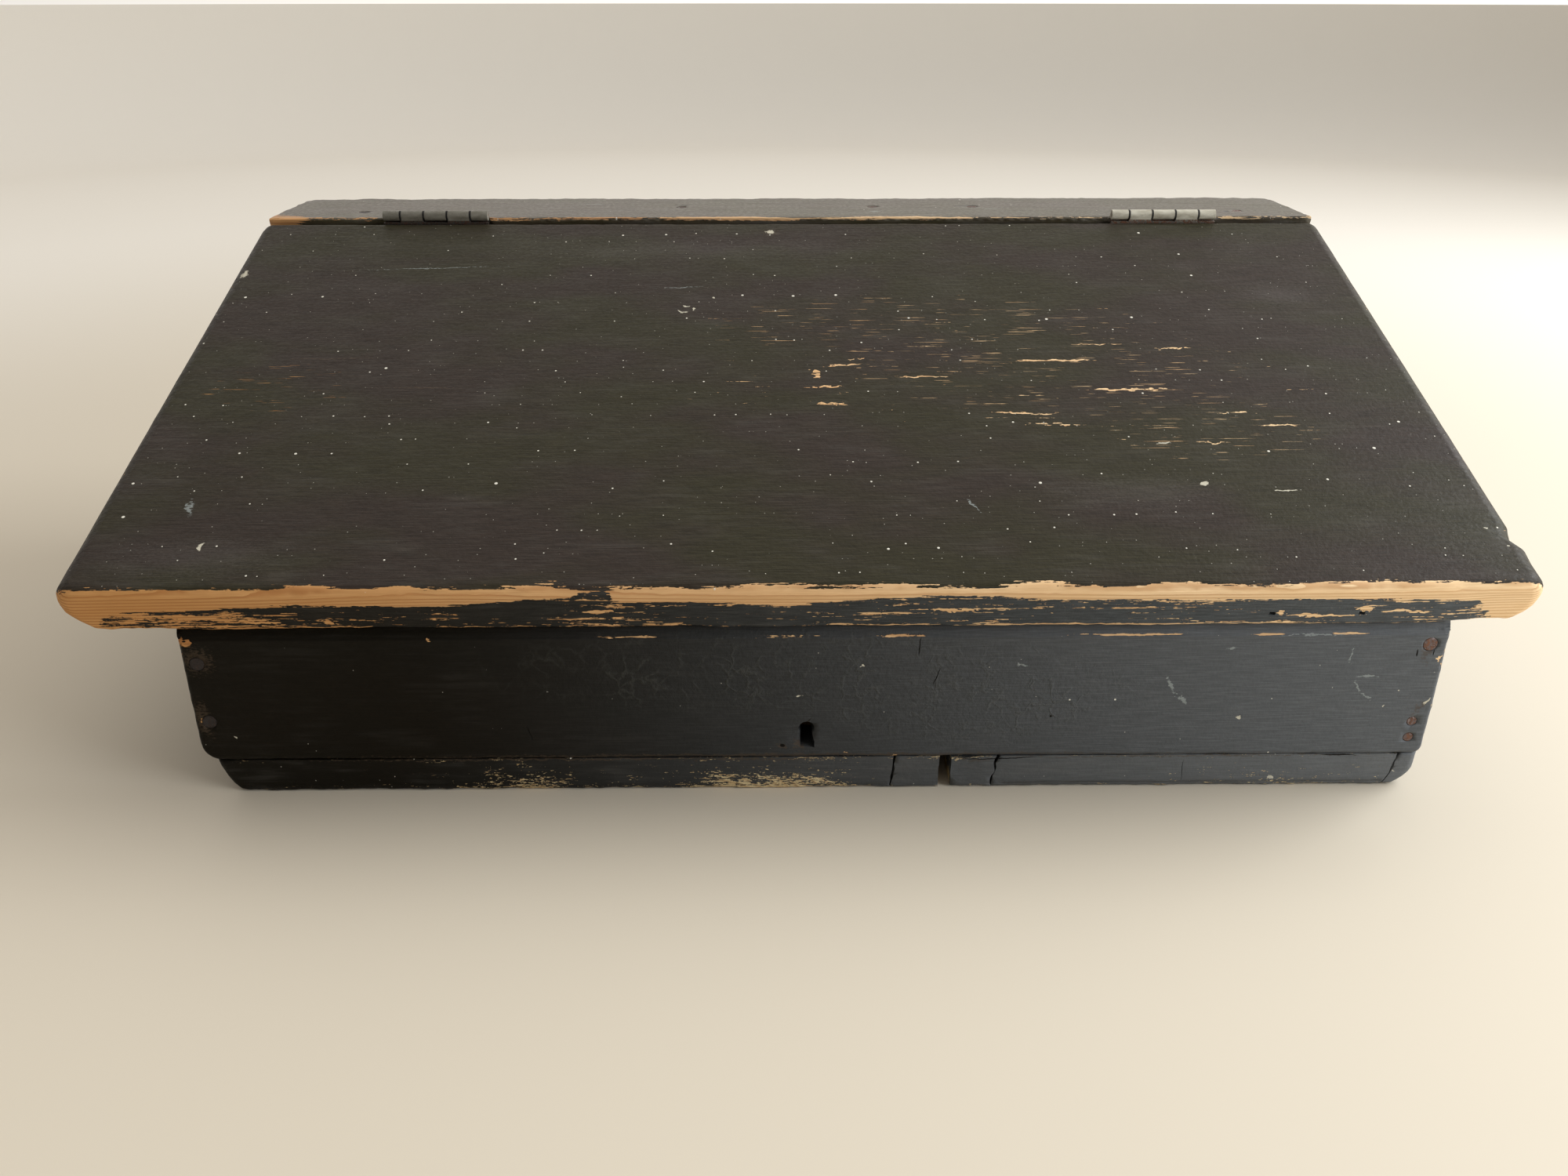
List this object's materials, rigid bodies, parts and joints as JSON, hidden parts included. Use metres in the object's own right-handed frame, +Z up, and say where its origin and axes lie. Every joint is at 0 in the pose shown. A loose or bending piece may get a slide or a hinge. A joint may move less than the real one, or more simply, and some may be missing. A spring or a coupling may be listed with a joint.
{
  "type": "sloping desk box",
  "caption": "Old painted pine table desk: a low-fronted wooden storage box with a sloping lid hinged to a fixed ledge at the back, and a box lock behind a keyhole.",
  "frame": {"origin": "bottom centre of the whole piece, on the surface that it stands on", "axes": "+X to the right as a person sits at the desk, +Y away from that person towards the ledge and the hinges, +Z up"},
  "size_m": [0.6, 0.3628, 0.2067],
  "materials": {
    "lid_paint": "thin old black paint over pine, worn warm grey-brown, satin, with bare streaks",
    "case_paint": "old black paint over pine, crackled, chipped along the edges, bare pine inside",
    "hinge_iron": "iron under thin worn paint, dull",
    "pin_steel": "drawn iron, dark, slightly polished",
    "screw_iron": "dark iron, slightly rusty",
    "nail_iron": "cut iron, rusty, heads painted over",
    "lock_iron": "sheet iron, dark with rust bloom",
    "bolt_iron": "filed iron, rubbed bright on its edges",
    "spring_steel": "blued spring steel"
  },
  "bodies": {
    "case": {"back_board": "case_paint", "bolt_studs": "pin_steel", "front_board": "case_paint", "key_post": "pin_steel", "ledge_board": "lid_paint", "ledge_nails": "nail_iron", "left_back_nails": "nail_iron", "left_base_board": "case_paint", "left_base_nails": "nail_iron", "left_front_nails": "nail_iron", "left_hinge_ledge_leaf": "hinge_iron", "left_hinge_ledge_screws": "screw_iron", "left_hinge_pin": "pin_steel", "left_side_board": "case_paint", "lock_case": "lock_iron", "lock_nails": "nail_iron", "lock_plate": "lock_iron", "lock_rivets": "pin_steel", "right_back_nails": "nail_iron", "right_base_board": "case_paint", "right_base_nails": "nail_iron", "right_front_nails": "nail_iron", "right_hinge_ledge_leaf": "hinge_iron", "right_hinge_ledge_screws": "screw_iron", "right_hinge_pin": "pin_steel", "right_side_board": "case_paint"},
    "lid": {"lid_board": "lid_paint", "lock_hasp": "lock_iron", "lock_hasp_screws": "screw_iron", "left_hinge_lid_leaf": "hinge_iron", "right_hinge_lid_leaf": "hinge_iron", "left_hinge_lid_screws": "screw_iron", "right_hinge_lid_screws": "screw_iron"},
    "bolt": {"lock_bolt": "bolt_iron", "bolt_spring": "spring_steel"}
  },
  "joints": [
    {"name": "lid_hinge", "type": "hinge", "parent": "case", "child": "lid", "pos_m": [0, 0.1043, 0.20396], "axis": [-1, 0, 0], "range_deg": [0, 200]},
    {"name": "bolt_slide", "type": "slide", "parent": "case", "child": "bolt", "axis": [1, 0, 0], "range_m": [0, 0.009]}
  ]
}
